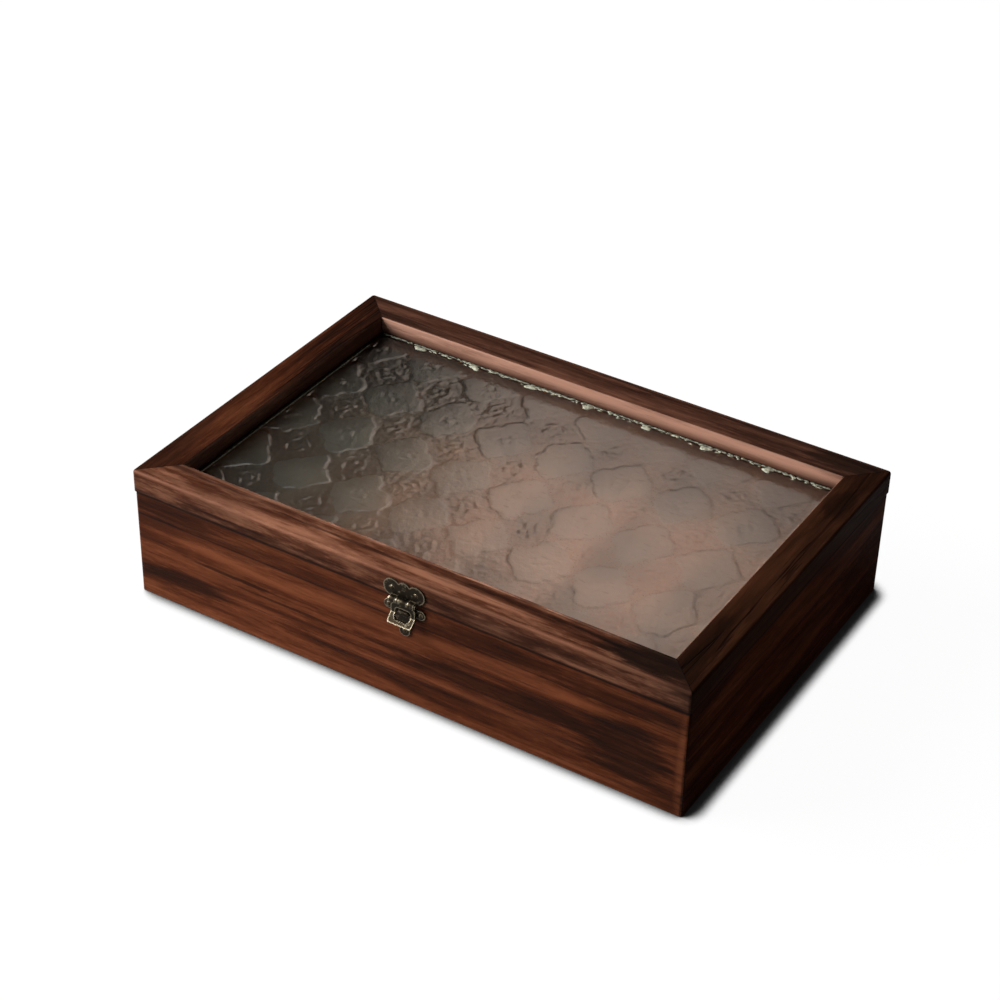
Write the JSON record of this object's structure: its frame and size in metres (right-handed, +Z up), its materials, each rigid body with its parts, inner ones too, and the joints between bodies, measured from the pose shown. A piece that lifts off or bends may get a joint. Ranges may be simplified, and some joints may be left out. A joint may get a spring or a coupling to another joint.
{
  "type": "cufflink display box",
  "caption": "Flat wooden box with a hinged lid framed around patterned glass, a small hasp at the front and cushioned compartments for cufflinks inside.",
  "frame": {"origin": "centre of the flat underside", "axes": "+X along the long front, the front with the hasp faces -Y, +Z up"},
  "size_m": [0.301, 0.2136, 0.07],
  "materials": {
    "torched_wood": "scorched, brushed and oiled, reddish dark brown with black streaks along the grain",
    "plain_wood": "stained brown, fine grain",
    "patterned_glass": "rolled relief of four-petalled flowers on the upper face, clear below",
    "antique_bronze": "darkened, rubbed bright on the edges",
    "bronze_fixings": "darkened round heads",
    "velvet_board": "short brown velvet on thin board",
    "velvet_cushion": "taupe velvet over foam rolls"
  },
  "bodies": {
    "case": {"back_lining": "velvet_board", "back_wall": "torched_wood", "bottom_panel": "plain_wood", "catch_plate": "antique_bronze", "clasp_nails_case": "bronze_fixings", "cross_divider_1": "velvet_board", "cross_divider_2": "velvet_board", "cross_divider_3": "velvet_board", "cross_divider_4": "velvet_board", "cross_divider_5": "velvet_board", "cushion_r1_c1": "velvet_cushion", "cushion_r1_c2": "velvet_cushion", "cushion_r1_c3": "velvet_cushion", "cushion_r1_c4": "velvet_cushion", "cushion_r1_c5": "velvet_cushion", "cushion_r1_c6": "velvet_cushion", "cushion_r2_c1": "velvet_cushion", "cushion_r2_c2": "velvet_cushion", "cushion_r2_c3": "velvet_cushion", "cushion_r2_c4": "velvet_cushion", "cushion_r2_c5": "velvet_cushion", "cushion_r2_c6": "velvet_cushion", "cushion_r3_c1": "velvet_cushion", "cushion_r3_c2": "velvet_cushion", "cushion_r3_c3": "velvet_cushion", "cushion_r3_c4": "velvet_cushion", "cushion_r3_c5": "velvet_cushion", "cushion_r3_c6": "velvet_cushion", "floor_lining": "velvet_board", "front_lining": "velvet_board", "front_wall": "torched_wood", "hinge_left_case_leaf": "antique_bronze", "hinge_left_pin": "antique_bronze", "hinge_right_case_leaf": "antique_bronze", "hinge_right_pin": "antique_bronze", "hinge_screws_case": "bronze_fixings", "left_lining": "velvet_board", "left_wall": "torched_wood", "long_divider_1": "velvet_board", "long_divider_2": "velvet_board", "right_lining": "velvet_board", "right_wall": "torched_wood"},
    "lid": {"bead_pins": "bronze_fixings", "clasp_lid_plate": "antique_bronze", "clasp_nails_lid": "bronze_fixings", "clasp_pin": "antique_bronze", "glass_pane": "patterned_glass", "glazing_bead_back": "plain_wood", "glazing_bead_front": "plain_wood", "glazing_bead_left": "plain_wood", "glazing_bead_right": "plain_wood", "hinge_left_lid_leaf": "antique_bronze", "hinge_right_lid_leaf": "antique_bronze", "hinge_screws_lid": "bronze_fixings", "lid_back_rail": "torched_wood", "lid_front_rail": "torched_wood", "lid_left_rail": "torched_wood", "lid_right_rail": "torched_wood"},
    "hasp": {"hasp": "antique_bronze"}
  },
  "joints": [
    {"name": "lid_hinge", "type": "hinge", "parent": "case", "child": "lid", "pos_m": [0, 0.1029, 0.05815], "axis": [-1, 0, 0], "range_deg": [0, 100]},
    {"name": "hasp_hinge", "type": "hinge", "parent": "lid", "child": "hasp", "pos_m": [0.005, -0.1026, 0.0583], "axis": [-1, 0, 0], "range_deg": [0, 120]}
  ]
}
